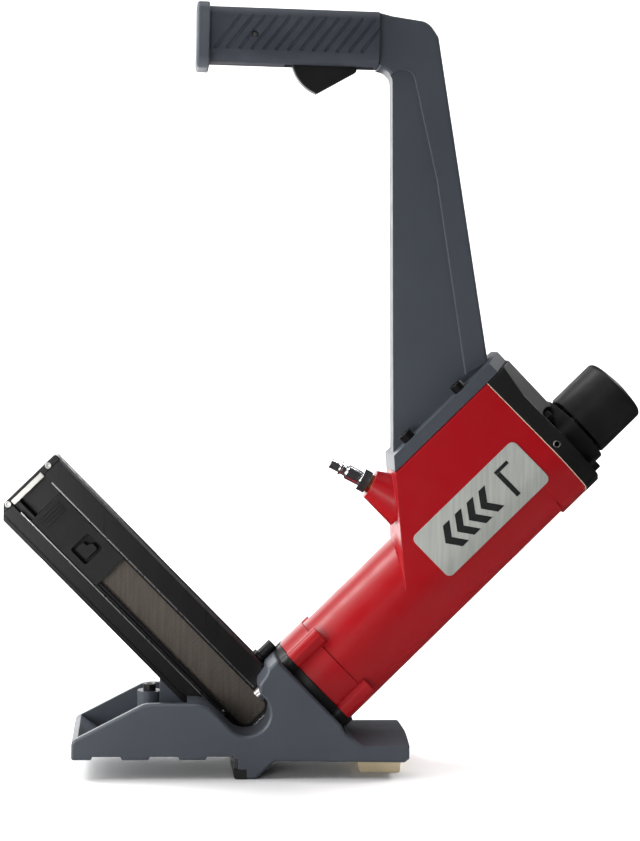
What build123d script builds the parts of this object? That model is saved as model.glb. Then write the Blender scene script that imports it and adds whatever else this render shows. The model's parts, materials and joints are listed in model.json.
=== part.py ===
from build123d import *
from math import cos, radians, sin, sqrt
import os

# Mallet-struck pneumatic flooring nailer, millimetres, +Z up, board edge side at -X.
# Two directions lean 45 degrees: "up the tool" (the driver's axis) and "along the feed"
# (the magazine). A point of the side view is given as (u, v) from the nose, where the
# cleat leaves: u up the tool, v along the feed. Y is across the tool, 0 in the middle.

os.makedirs("parts", exist_ok=True)

# ---- driving dimensions -------------------------------------------------------------
NOSE_X, NOSE_Z = -71.9, 0.6          # the nose, on the driver's axis
BASE_WIDTH = 100.0
SOLE_Z = 12.7                        # underside of the right-hand foot
TOOTH_Z, TOOTH_PITCH = 15.0, 44.2    # underside and spacing of the left-hand teeth
SLOPE_U = 88.4                       # base's slanted seat for the cylinder
FLANGE_U = 95.5                      # lower face of the housing
STEP_U = 120.0                       # top of the housing's thick lower ring
HEAD_U = 357.8                       # upper face of the housing
CAP_U = HEAD_U + 0.6                 # lower face of the head cap, over its gasket
CAP_PLATE_U = CAP_U + 13.6           # the head cap's bolted plate ends here
CAP_END_U = 384.0                    # outer face of the head cap
COLLAR_U = 387.4                     # rim of the collar round the strike cap
STRIKE_U, STRIKE_END_U = 390.0, 436.7  # strike cap at rest
HOUSING_R = 40.2
TOP_V = 80.5                         # flat top of the housing, under the handle
TOP_HALF_WIDTH = 27.0
LINER_R, LINER_WALL = 30.0, 3.0
LOWER_BORE_R, UPPER_BORE_R = 36.0, 32.0
BUMPER_U = (99.0, 118.0)
PISTON_U = (190.0, 208.0)
VALVE_SEAT_U = 236.5
VALVE_PLATE_END_U = 246.0
BLADE_TIP_U = 68.0
MAG_U = (10.0, 75.4)                 # magazine, across its length
MAG_V = (12.0, 270.5)                # magazine, along its length
MAG_HALF = 14.0
WINDOW_U = (23.5, 58.2)
CLEATS, CLEAT_PITCH, CLEAT_THICK = 100, 1.775, 1.6
FIRST_CLEAT_V = 2.3
PUSHER_V = (179.5, 251.5)
GRIP_X = (-98.7, 34.7)
GRIP_Z = (558.5, 602.0)
GRIP_HALF = 18.0
TRIGGER_PIVOT = (24.0, 567.0)
ROD_LEAN = 10.06                     # degrees that the handle's spine leans from vertical
ROD_TOP = (75.45, 565.0)

# ---- directions, planes and helpers -------------------------------------------------
UP_TOOL = Vector(1, 0, 1).normalized()
ALONG_FEED = Vector(-1, 0, 1).normalized()
NOSE = Vector(NOSE_X, 0, NOSE_Z)
TOOL_AXIS = Axis(NOSE, UP_TOOL)
SIDE = Plane(origin=NOSE, x_dir=UP_TOOL, z_dir=(0, -1, 0))      # local (u, v), z is -Y


def xz(u, v):
    """Side-view point (u, v) as (X, Z)."""
    return (NOSE_X + (u - v) / sqrt(2), NOSE_Z + (u + v) / sqrt(2))


def across_tool(u):
    """Plane square to the driver's axis at u, local (v, -Y)."""
    return Plane(origin=NOSE + UP_TOOL * u, x_dir=ALONG_FEED, z_dir=UP_TOOL)


def across_feed(v):
    """Plane square to the magazine at v, local (u, Y)."""
    return Plane(origin=NOSE + ALONG_FEED * v, x_dir=UP_TOOL, z_dir=ALONG_FEED)


def side_at(y):
    """The side view's (u, v) plane at a given Y, its normal towards -Y."""
    return Plane(origin=NOSE + Vector(0, y, 0), x_dir=UP_TOOL, z_dir=(0, -1, 0))


def rounded(*corners):
    """Closed face from (x, y, corner radius) triples."""
    with BuildLine() as outline:
        FilletPolyline(*[(c[0], c[1]) for c in corners], radius=[c[2] for c in corners], close=True)
    make_face(outline.edges())


def rect_uv(u0, u1, v0, v1, radius=0.0):
    """Rectangle between two pairs of limits, with one corner radius."""
    rounded((u0, v0, radius), (u1, v0, radius), (u1, v1, radius), (u0, v1, radius))


def seat_plane(plane, point, flip=False):
    """Plane moved to a point of its own, facing the same way or the other way."""
    return Plane(origin=plane.from_local_coords((*point, 0)), z_dir=plane.z_dir * (-1 if flip else 1))


def disc_along(plane, radius, length, mode=Mode.ADD, centre=(0, 0)):
    """Round bar or bore from a plane along its normal."""
    with BuildSketch(plane) as section:
        with Locations(centre):
            Circle(radius)
    extrude(section.sketch, amount=length, mode=mode)


def side_edges(builder, half_width):
    """Edges round the flat sides of a piece, at Y = +-half_width."""
    sides = builder.faces().filter_by(lambda f: abs(abs(f.center().Y) - half_width) < 0.01 and f.is_planar)
    return ShapeList([e for f in sides for e in f.outer_wire().edges()])


def save(builder, name):
    builder.part.label = name
    export_step(builder.part, f"parts/{name}.step")


def compression_spring(plane, height, radius, wire, pitch, name):
    """Coil spring standing on a plane."""
    with BuildPart() as spring:
        with BuildLine():
            coil = Helix(pitch, height, radius, center=plane.origin, direction=plane.z_dir)
        with BuildSketch(Plane(origin=coil @ 0, z_dir=coil % 0)):
            Circle(wire / 2)
        sweep(path=coil)
    save(spring, name)


def socket_screws(planes, head_r, head_len, shank_r, shank_len, name):
    """Socket-head screws: each plane lies under its head, its normal out of the head."""
    with BuildPart() as screws:
        for plane in planes:
            disc_along(plane, head_r, head_len)
            disc_along(plane, shank_r, -shank_len)
            with BuildSketch(plane.offset(head_len)):
                RegularPolygon(head_r * 0.55, 6)
            extrude(amount=-head_len * 0.6, mode=Mode.SUBTRACT)
    save(screws, name)


# ---- base -----------------------------------------------------------------------------
LUG_POINTS = [(-25.0, -32.0), (-25.0, 32.0), (29.7, -29.7), (29.7, 29.7)]   # flange bolts, (v, y)
BOLT_SEAT_U = 62.0
FOOT_X = NOSE_X - 0.1
INSERT_X, INSERT_Z = -61.7, 7.8
BOARD_PLATE_Z = (INSERT_Z + 0.1, 15.9)          # bright plates above the inserts, on the same face
BOARD_PLATE_THICK = 3.5
FIRST_GAP_X, GAP_HALF, GAP_TOP_Z = -170.4, 13.2, 17.8
BOSS_X, BOSS_TOP_Z = -137.7, 60.6
NOSE_HALF = 11.6
EDGE = 1.6                                   # width of the castings' broken edges
MAG_SCREW_V, SCREW_HEAD_R, SCREW_KNOB_R = 46.0, 7.0, 5.0
PAD_SCREWS = [(45, -16), (45, 16)]

with BuildPart() as base_casting:
    with BuildSketch(Plane.XZ):
        rounded(
            (-197.5, TOOTH_Z, 2), (FOOT_X, TOOTH_Z, 0), (FOOT_X, 0, 0), (-54.5, 0, 2),
            (-40.4, 13.9, 6), (62.0, SOLE_Z, 2), (65.7, 15.5, 2), (65.7, 25.6, 2), (29.0, 25.7, 8),
            (15.0, 35.5, 5), xz(SLOPE_U, -29.5) + (3,), xz(SLOPE_U, 42.4) + (2.5,),
            xz(78.5, 42.6) + (2,), xz(74.6, 40.2) + (3,), xz(65.5, 38.6) + (5,),
            xz(60.8, 34.0) + (4,), xz(60.8, 11.4) + (17.6,), xz(25.2, 11.4) + (17.6,),
            (-94.5, 58.8, 20), (-141.6, 58.8, 18), (-197.5, 29.6, 5),
        )
    extrude(amount=BASE_WIDTH / 2, both=True)
    chamfer(side_edges(base_casting, BASE_WIDTH / 2), EDGE)
    # crowned top of the right-hand foot
    crown = BASE_WIDTH / 2 - EDGE
    with BuildSketch(Plane.YZ.offset(17.0)):
        rounded(
            (-crown, 16, 0), (crown, 16, 0), (crown, 25.6, 0), (26, 32, 100), (-26, 32, 100),
            (-crown, 25.6, 0),
        )
    extrude(amount=48.7)
    # gaps between the teeth
    with BuildSketch(Plane.XZ):
        for gap in range(3):
            x = FIRST_GAP_X + TOOTH_PITCH * gap
            rounded(
                (x - GAP_HALF, 12, 0), (min(x + GAP_HALF, FOOT_X), 12, 0),
                (min(x + GAP_HALF - 2.3, FOOT_X), GAP_TOP_Z, 0), (x - GAP_HALF + 2.3, GAP_TOP_Z, 0),
            )
    extrude(amount=BASE_WIDTH / 2, both=True, mode=Mode.SUBTRACT)
    # open pocket in the left-hand part, with a draughted end wall
    with BuildSketch(Plane.XZ):
        rounded((-178, 22, 6), (-108, 22, 4), (-108, 80, 0), (-193.4, 80, 0), (-193.4, 32.5, 2))
    extrude(amount=43.5, both=True, mode=Mode.SUBTRACT)
    # screw boss and the post that carries the magazine
    disc_along(Plane(origin=(BOSS_X, 0, 20)), 9.5, BOSS_TOP_Z - 20)
    with BuildSketch(Plane.XZ):
        rounded((-129.6, 18, 0), (-104, 18, 0), (-104, 60, 0), (-129.6, 85.6, 0))
    extrude(amount=12.5, both=True)
    # slot for the magazine and pocket for the nose block
    with BuildSketch(SIDE):
        rect_uv(MAG_U[0] - 0.3, MAG_U[1] + 0.6, 5.4, 140, 0)
    extrude(amount=MAG_HALF + 0.5, both=True, mode=Mode.SUBTRACT)
    with BuildSketch(SIDE):
        rect_uv(-30, SLOPE_U + 6, -14.3, 12.5, 0)
    extrude(amount=NOSE_HALF + 0.2, both=True, mode=Mode.SUBTRACT)
    # seats for the foot inserts and the board-edge plates
    with BuildSketch(Plane.XZ):
        rect_uv(FOOT_X - 2, INSERT_X, -2, INSERT_Z)
        rect_uv(FOOT_X - 2, FOOT_X + BOARD_PLATE_THICK + 0.1, INSERT_Z - 1, BOARD_PLATE_Z[1] + 0.1)
    extrude(amount=BASE_WIDTH / 2 + 1, both=True, mode=Mode.SUBTRACT)
    # flange bolts: clearance holes, counterbores, and relief under the flange's low side
    for v, y in LUG_POINTS:
        disc_along(across_tool(BOLT_SEAT_U), 3.3, 40, Mode.SUBTRACT, (v, y))
        disc_along(across_tool(BOLT_SEAT_U), 6.2, -36 if v < 0 else -8, Mode.SUBTRACT, (v, y))
    with BuildSketch(SIDE):
        rect_uv(79.0, 96, -38, -18)
    extrude(amount=45.5, both=True, mode=Mode.SUBTRACT)
    disc_along(across_tool(MAG_U[1] - 1), SCREW_HEAD_R + 0.6, 30, Mode.SUBTRACT, (MAG_SCREW_V, 0))
    # screw hole in the boss and pad screw holes
    disc_along(Plane(origin=(BOSS_X, 0, 30)), 3.1, 40, Mode.SUBTRACT)
    for x, y in PAD_SCREWS:
        disc_along(Plane(origin=(x, y, 10)), 2.1, 14, Mode.SUBTRACT)
save(base_casting, "base_casting")

with BuildPart() as base_pad:
    with BuildSketch(Plane.XZ):
        rounded((29.5, 0, 1.5), (61.5, 0, 1.5), (62.5, SOLE_Z, 0), (26.5, SOLE_Z, 0))
    extrude(amount=TOP_HALF_WIDTH, both=True)
    for point in PAD_SCREWS:
        disc_along(Plane.XY, 4.2, 5, Mode.SUBTRACT, point)
        disc_along(Plane.XY, 2.2, 20, Mode.SUBTRACT, point)
save(base_pad, "base_pad")

socket_screws(
    [seat_plane(Plane.XY.offset(5), point, flip=True) for point in PAD_SCREWS],
    3.8, 3.5, 2.0, 17, "pad_screws",
)
socket_screws([Plane(origin=(BOSS_X, 0, BOSS_TOP_Z), z_dir=(0, 0, 1))], 5.0, 5.5, 3.0, 26, "boss_screw")


def clear_nose():
    """Part a full-width piece of the foot where the nose stands."""
    with BuildSketch(Plane.XZ) as gap:
        rect_uv(-80, -50, -2, 20)
    extrude(gap.sketch, amount=NOSE_HALF + 0.3, both=True, mode=Mode.SUBTRACT)


with BuildPart() as foot_inserts:
    with BuildSketch(Plane.XZ):
        rounded((FOOT_X, 0, 3), (INSERT_X, 0, 0.3), (INSERT_X, INSERT_Z, 0), (FOOT_X, INSERT_Z, 0))
    extrude(amount=BASE_WIDTH / 2, both=True)
    clear_nose()
save(foot_inserts, "foot_inserts")

with BuildPart() as board_plates:
    with BuildSketch(Plane.XZ):
        rect_uv(FOOT_X, FOOT_X + BOARD_PLATE_THICK, *BOARD_PLATE_Z)
    extrude(amount=BASE_WIDTH / 2 - 1.5, both=True)
    clear_nose()
save(board_plates, "board_plates")

# ---- nose: the driver's guide -------------------------------------------------------
CHANNEL_V, CHANNEL_HALF = 1.4, 3.6
FEED_U = (12.6, 67.0)
NOSE_SCREWS = [(u, y) for u in (20, 80) for y in (-7.8, 7.8)]


def trim_to_foot():
    """Cut the nose flush with the foot's left face and sole."""
    split(bisect_by=Plane(origin=(FOOT_X, 0, 0), z_dir=(1, 0, 0)), keep=Keep.TOP)
    split(bisect_by=Plane(origin=(0, 0, 0.3), z_dir=(0, 0, 1)), keep=Keep.TOP)


with BuildPart() as nose_block:
    with BuildSketch(SIDE):
        rect_uv(-20, SLOPE_U - 0.1, -14.1, 0, 0)
    extrude(amount=NOSE_HALF, both=True)
    with BuildSketch(SIDE):
        rect_uv(-30, SLOPE_U + 5, -CHANNEL_V, 5, 0)
    extrude(amount=CHANNEL_HALF, both=True, mode=Mode.SUBTRACT)
    for u, y in NOSE_SCREWS:
        disc_along(across_feed(1), 1.9, -11, Mode.SUBTRACT, (u, y))
    trim_to_foot()
save(nose_block, "nose_block")

with BuildPart() as nose_plate:
    with BuildSketch(SIDE):
        rect_uv(-20, SLOPE_U - 0.1, 0, 11.8, 0)
    extrude(amount=NOSE_HALF, both=True)
    with BuildSketch(SIDE):
        rect_uv(-30, SLOPE_U + 5, -5, CHANNEL_V, 0)
        rect_uv(FEED_U[0], FEED_U[1], -5, 20, 0)
    extrude(amount=CHANNEL_HALF, both=True, mode=Mode.SUBTRACT)
    for u, y in NOSE_SCREWS:
        disc_along(across_feed(-1), 2.1, 20, Mode.SUBTRACT, (u, y))
        disc_along(across_feed(8.2), 3.3, 9, Mode.SUBTRACT, (u, y))
    trim_to_foot()
save(nose_plate, "nose_plate")

socket_screws(
    [seat_plane(across_feed(8.3), point) for point in NOSE_SCREWS],
    3.1, 3.2, 1.8, 16, "nose_screws",
)

# ---- flange between base and cylinder -------------------------------------------------
with BuildPart() as flange_plate:
    disc_along(across_tool(SLOPE_U), 42.5, FLANGE_U - SLOPE_U)
    with BuildSketch(across_tool(SLOPE_U)):
        with Locations(*LUG_POINTS):
            Circle(8.6)
    extrude(amount=FLANGE_U - SLOPE_U)
    disc_along(across_tool(FLANGE_U), LOWER_BORE_R - 0.1, BUMPER_U[0] - FLANGE_U)
    with BuildSketch(across_tool(SLOPE_U)):
        Rectangle(5.0, 10.0)
    extrude(amount=30, mode=Mode.SUBTRACT)
    with BuildSketch(across_tool(SLOPE_U)):
        with Locations(*LUG_POINTS):
            Circle(3.2)
    extrude(amount=20, mode=Mode.SUBTRACT)
    disc_along(across_tool(SLOPE_U - 1), SCREW_KNOB_R + 0.6, 20, Mode.SUBTRACT, (MAG_SCREW_V, 0))
save(flange_plate, "flange_plate")

socket_screws(
    [seat_plane(across_tool(BOLT_SEAT_U), point, flip=True) for point in LUG_POINTS],
    5.0, 6.0, 3.0, 50, "flange_bolts",
)

# ---- cylinder housing -------------------------------------------------------------------
END_FACE = Plane(origin=(52.6, 0, 240), z_dir=(0.9956, 0, 0.0933))
HEAD_BOLT = 26.5
HEAD_BOLT_POINTS = [(a * HEAD_BOLT, b * HEAD_BOLT) for a in (-1, 1) for b in (-1, 1)]
HEAD_DROP, HEAD_LUG_R = 2.1, 8.2
HANDLE_BOLTS = [(u, y) for u in (283.5, 340.0) for y in (-20, 20)]
AIR_PASSAGE = (350.5, 0)                            # between the air space and the handle's valve
HEAD_RING_U = HEAD_U - 24.5
INLET_LEAN = 27.0                                  # plug's axis above horizontal, towards -X
INLET_DIR = Vector(-cos(radians(INLET_LEAN)), 0, sin(radians(INLET_LEAN)))
INLET_RIM = Plane(origin=(36.4, 0, 227.5), x_dir=(0, 1, 0), z_dir=INLET_DIR)


def upper_profile(grow=0.0):
    """Section of the housing's deep upper part: sides taper from the cylinder to the top."""
    side = HOUSING_R * 0.985
    rounded(
        (7.0, -side - grow, 0), (TOP_V, -TOP_HALF_WIDTH - grow, 2.5), (TOP_V, TOP_HALF_WIDTH + grow, 2.5),
        (7.0, side + grow, 0),
    )
    Circle(HOUSING_R + grow)


def head_outline(grow=0.0):
    """Outline of the head flange: the cylinder's circle set down a little, and two bolt lugs."""
    with BuildSketch(mode=Mode.PRIVATE) as circles:
        with Locations((-HEAD_DROP, 0)):
            Circle(HOUSING_R + grow)
        with Locations((-HEAD_BOLT, -HEAD_BOLT), (-HEAD_BOLT, HEAD_BOLT)):
            Circle(HEAD_LUG_R + grow)
    with Locations((-HEAD_DROP, 0)):
        Circle(HOUSING_R + grow)
    make_hull(circles.sketch_local.edges())


with BuildPart() as housing:
    with BuildSketch(across_tool(170)):
        upper_profile()
    extrude(amount=HEAD_U - 170)
    split(bisect_by=END_FACE, keep=Keep.TOP)
    disc_along(across_tool(FLANGE_U), HOUSING_R, HEAD_U - FLANGE_U)
    # thick lower ring with its bolt lugs, and the flange under the head
    disc_along(across_tool(FLANGE_U), HOUSING_R + 0.8, STEP_U - FLANGE_U, centre=(0.8, 0))
    with BuildSketch(across_tool(FLANGE_U)):
        with Locations(*LUG_POINTS):
            Circle(8.0)
    extrude(amount=30)
    with BuildSketch(across_tool(HEAD_RING_U)):
        head_outline()
    extrude(amount=HEAD_U - HEAD_RING_U)
    # boss of the air inlet
    with BuildSketch(INLET_RIM.offset(-30)):
        Circle(21.5)
    with BuildSketch(INLET_RIM):
        Circle(11.9)
    loft()
    # bores
    disc_along(across_tool(FLANGE_U), LOWER_BORE_R, VALVE_PLATE_END_U - FLANGE_U, Mode.SUBTRACT)
    disc_along(across_tool(VALVE_PLATE_END_U), UPPER_BORE_R, HEAD_U - VALVE_PLATE_END_U, Mode.SUBTRACT)
    with BuildSketch(SIDE):
        rect_uv(266, 350, 20, TOP_V - 9, 5)
    extrude(amount=18, both=True, mode=Mode.SUBTRACT)
    disc_along(INLET_RIM.offset(1), 5.6, -62, Mode.SUBTRACT)
    # threaded holes of the flange, head and handle bolts
    for v, y in LUG_POINTS:
        disc_along(across_tool(FLANGE_U - 1), 3.05, 20, Mode.SUBTRACT, (v, y))
    for v, y in HEAD_BOLT_POINTS:
        disc_along(across_tool(HEAD_U + 1), 3.05, -26, Mode.SUBTRACT, (v, y))
    for point in HANDLE_BOLTS:
        disc_along(across_feed(TOP_V + 1), 3.05, -16, Mode.SUBTRACT, point)
    disc_along(across_feed(TOP_V + 1), 3.0, -16, Mode.SUBTRACT, AIR_PASSAGE)
save(housing, "housing")

LABEL_U, LABEL_V = (229.0, 341.0), (-8.0, 35.0)
LABEL_GLUE, LABEL_THICK = 0.05, 0.6
with BuildPart() as label_plates:
    with BuildSketch(across_tool(LABEL_U[0])):
        upper_profile(LABEL_THICK)
    extrude(amount=LABEL_U[1] - LABEL_U[0])
    with BuildSketch(across_tool(LABEL_U[0] - 1)):
        upper_profile(LABEL_GLUE)
    extrude(amount=LABEL_U[1] - LABEL_U[0] + 2, mode=Mode.SUBTRACT)
    with BuildSketch(across_tool(HEAD_RING_U - LABEL_GLUE)):
        head_outline(LABEL_GLUE)
    extrude(amount=LABEL_U[1] - HEAD_RING_U + 2, mode=Mode.SUBTRACT)
    with BuildSketch(SIDE):
        rect_uv(*LABEL_U, *LABEL_V, 5)
    extrude(amount=60, both=True, mode=Mode.INTERSECT)
save(label_plates, "label_plates")

# ---- inside the cylinder ------------------------------------------------------------------
with BuildPart() as cylinder_liner:
    disc_along(across_tool(BUMPER_U[0]), LINER_R + LINER_WALL, VALVE_SEAT_U - BUMPER_U[0])
    disc_along(across_tool(BUMPER_U[0]), LINER_R, VALVE_SEAT_U - BUMPER_U[0], Mode.SUBTRACT)
save(cylinder_liner, "cylinder_liner")

with BuildPart() as liner_rings:
    for u in (112.0, 226.0):
        with BuildSketch(SIDE) as ring_section:
            with Locations((u, LINER_R + LINER_WALL + 1.5)):
                Circle(1.5)
        revolve(ring_section.sketch, axis=TOOL_AXIS)
save(liner_rings, "liner_rings")

with BuildPart() as bumper:
    with BuildSketch(SIDE):
        rounded(
            (BUMPER_U[0], 8, 0), (BUMPER_U[0], 29.6, 0), (BUMPER_U[1] - 6, 29.6, 3),
            (BUMPER_U[1], 23, 3), (BUMPER_U[1], 8, 1),
        )
    revolve(axis=TOOL_AXIS)
save(bumper, "bumper")

with BuildPart() as valve_plate:
    disc_along(across_tool(VALVE_SEAT_U), LOWER_BORE_R - 0.1, VALVE_PLATE_END_U - VALVE_SEAT_U)
    disc_along(across_tool(VALVE_SEAT_U), 18.0, 12, Mode.SUBTRACT)
save(valve_plate, "valve_plate")

PISTON_R = LINER_R - 0.08
with BuildPart() as piston:
    disc_along(across_tool(PISTON_U[0]), PISTON_R, PISTON_U[1] - PISTON_U[0])
    with BuildSketch(SIDE):
        rect_uv(196.0, 200.0, PISTON_R - 3.0, PISTON_R + 2)
    revolve(axis=TOOL_AXIS, mode=Mode.SUBTRACT)
    disc_along(across_tool(PISTON_U[1] - 6), 20, 7, Mode.SUBTRACT)
    with BuildSketch(across_tool(PISTON_U[0])):
        Rectangle(2.2, 6.6)
    extrude(amount=10, mode=Mode.SUBTRACT)
    with BuildSketch(SIDE):
        with Locations((PISTON_U[0] + 5, 0)):
            Circle(1.5)
    extrude(amount=14, both=True, mode=Mode.SUBTRACT)
save(piston, "piston")

with BuildPart() as piston_ring:
    with BuildSketch(SIDE):
        rect_uv(196.1, 199.9, PISTON_R - 2.9, LINER_R - 0.04, 0.6)
    revolve(axis=TOOL_AXIS)
save(piston_ring, "piston_ring")

with BuildPart() as driver_blade:
    with BuildSketch(across_tool(BLADE_TIP_U)):
        Rectangle(2.0, 6.4)
    extrude(amount=PISTON_U[0] + 10 - BLADE_TIP_U)
    with BuildSketch(SIDE):
        with Locations((PISTON_U[0] + 5, 0)):
            Circle(1.5)
    extrude(amount=14, both=True, mode=Mode.SUBTRACT)
save(driver_blade, "driver_blade")

with BuildPart() as blade_pin:
    with BuildSketch(SIDE):
        with Locations((PISTON_U[0] + 5, 0)):
            Circle(1.45)
    extrude(amount=13, both=True)
save(blade_pin, "blade_pin")

# ---- head: cap, collar and strike cap ------------------------------------------------------
with BuildPart() as head_gasket:
    with BuildSketch(across_tool(HEAD_U)):
        upper_profile(0.4)
        head_outline(0.4)
        Circle(UPPER_BORE_R, mode=Mode.SUBTRACT)
        with Locations(*HEAD_BOLT_POINTS):
            Circle(3.3, mode=Mode.SUBTRACT)
    extrude(amount=CAP_U - HEAD_U)
save(head_gasket, "head_gasket")

BUSH_R, STEM_R = 12.0, 8.0
COLLAR_R, COLLAR_BORE_R = 31.0, 29.0
with BuildPart() as head_cap:
    with BuildSketch(across_tool(CAP_U)):
        upper_profile(0.3)
        head_outline(0.3)
        with Locations(*HEAD_BOLT_POINTS):
            Circle(HEAD_LUG_R)
    extrude(amount=CAP_PLATE_U - CAP_U)
    # deep upper block with its outer corners cut back
    with BuildSketch(across_tool(CAP_PLATE_U)):
        upper_profile(0.3)
        with Locations((-30, 0)):
            Rectangle(120, 120, mode=Mode.SUBTRACT)
    extrude(amount=CAP_END_U - CAP_PLATE_U)
    for y in (-1, 1):
        with BuildSketch(across_feed(0)):
            rounded(
                (CAP_PLATE_U, y * 31.5, 0), (CAP_END_U + 1, y * 18.5, 0), (CAP_END_U + 1, y * 60, 0),
                (CAP_PLATE_U, y * 60, 0),
            )
        extrude(amount=120, mode=Mode.SUBTRACT)
    # collar round the strike cap and the boss of its bush
    disc_along(across_tool(CAP_PLATE_U), COLLAR_R, COLLAR_U - CAP_PLATE_U)
    disc_along(across_tool(CAP_PLATE_U), COLLAR_BORE_R, 40, Mode.SUBTRACT)
    disc_along(across_tool(CAP_U), 14.2, 378 - CAP_U)
    disc_along(across_tool(CAP_U - 10), BUSH_R, 60, Mode.SUBTRACT)
    # bolt seats, bolt holes and the vent in the side
    for v, y in HEAD_BOLT_POINTS:
        disc_along(across_tool(CAP_PLATE_U), 6.3, 40, Mode.SUBTRACT, (v, y))
        disc_along(across_tool(CAP_U - 5), 3.2, 40, Mode.SUBTRACT, (v, y))
    with BuildSketch(side_at(-60)):
        with Locations((CAP_U + 5.2, 8.5)):
            Circle(2.7)
    extrude(amount=-28, mode=Mode.SUBTRACT)
save(head_cap, "head_cap")

socket_screws(
    [seat_plane(across_tool(CAP_PLATE_U), point) for point in HEAD_BOLT_POINTS],
    5.0, 6.0, 3.0, 38, "head_bolts",
)

with BuildPart() as guide_bush:
    disc_along(across_tool(352), BUSH_R, 378 - 352)
    disc_along(across_tool(350), STEM_R + 0.06, 60, Mode.SUBTRACT)
save(guide_bush, "guide_bush")

with BuildPart() as strike_stem:
    with BuildSketch(SIDE):
        rounded(
            (227, 0, 0), (227, 21, 0), (230, 24, 0), (234.5, 24, 0), (234.5, STEM_R, 0),
            (424, STEM_R, 0), (424, 5.95, 0), (431.4, 5.95, 0), (431.4, 0, 0),
        )
    revolve(axis=TOOL_AXIS)
save(strike_stem, "strike_stem")

with BuildPart() as poppet_seal:
    with BuildSketch(SIDE):
        rect_uv(234.5, VALVE_SEAT_U - 0.35, 17, 24, 0.4)
    revolve(axis=TOOL_AXIS)
save(poppet_seal, "poppet_seal")

STRIKE_R = 28.3
with BuildPart() as strike_cap:
    with BuildSketch(SIDE):
        with BuildLine() as cup:
            Polyline(
                (431.5, 0), (431.5, 6), (424, 6), (424, 21), (421, 23), (STRIKE_U, 23),
                (STRIKE_U, STRIKE_R - 1), (STRIKE_U + 1, STRIKE_R), (430.4, STRIKE_R),
            )
            ThreePointArc((430.4, STRIKE_R), (433.4, 27.1), (434.6, 24.2))
            Polyline((434.6, 24.2), (STRIKE_END_U, 14), (STRIKE_END_U, 0), (431.5, 0))
        make_face(cup.edges())
    revolve(axis=TOOL_AXIS)
save(strike_cap, "strike_cap")

compression_spring(across_tool(374.0), 48.0, 17.6, 2.8, 8.0, "strike_spring")

# ---- air inlet -------------------------------------------------------------------------------
with BuildPart() as inlet_bushing:
    disc_along(INLET_RIM, 7.6, 2.5)
    disc_along(INLET_RIM, 5.5, -12)
    disc_along(INLET_RIM.offset(5), 3.0, -40, Mode.SUBTRACT)
save(inlet_bushing, "inlet_bushing")

PLUG_NOSE_R, PLUG_NOSE = 3.95, (28.5, 36.5)
INLET_SIDE = Plane(origin=INLET_RIM.origin, x_dir=INLET_DIR, z_dir=(0, -1, 0))
with BuildPart() as air_plug:
    with BuildSketch(INLET_RIM.offset(2.5)):
        RegularPolygon(10.4, 6)
    extrude(amount=7.0)
    with BuildSketch(INLET_SIDE):
        rounded(
            (9.5, 0, 0), (9.5, 5.9, 0), (21.5, 5.9, 0.6), (23, 4.2, 0), (25.6, 4.2, 0), (26.4, 5.3, 0.4),
            (28, 5.3, 0.4), (PLUG_NOSE[0], PLUG_NOSE_R, 0), (PLUG_NOSE[1], PLUG_NOSE_R, 0),
            (PLUG_NOSE[1], 0, 0),
        )
    revolve(axis=Axis(INLET_RIM.origin, INLET_DIR))
    disc_along(INLET_RIM.offset(2), 2.6, 40, Mode.SUBTRACT)
save(air_plug, "air_plug")

# ---- handle ------------------------------------------------------------------------------------
PLATE_V = (TOP_V, 90.5)
ROD_DIR = Vector(sin(radians(ROD_LEAN)), 0, -cos(radians(ROD_LEAN)))
ROD_PLANE = Plane(origin=(ROD_TOP[0], 0, ROD_TOP[1]), x_dir=(0, 1, 0), z_dir=ROD_DIR)
VALVE_TOP, VALVE_LEN = 206.0, 28.0             # along the rod from its top
CORE_Z = (563.2, 597.3)
WEB_HALF = 9.6
GRIP_PIN = (-63.5, 580.3)
COLUMN_HALF = 13.2
TRIGGER_SLOT_X, ARM_SLOT_Z = (-38.7, 32.3), 561.3

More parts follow.
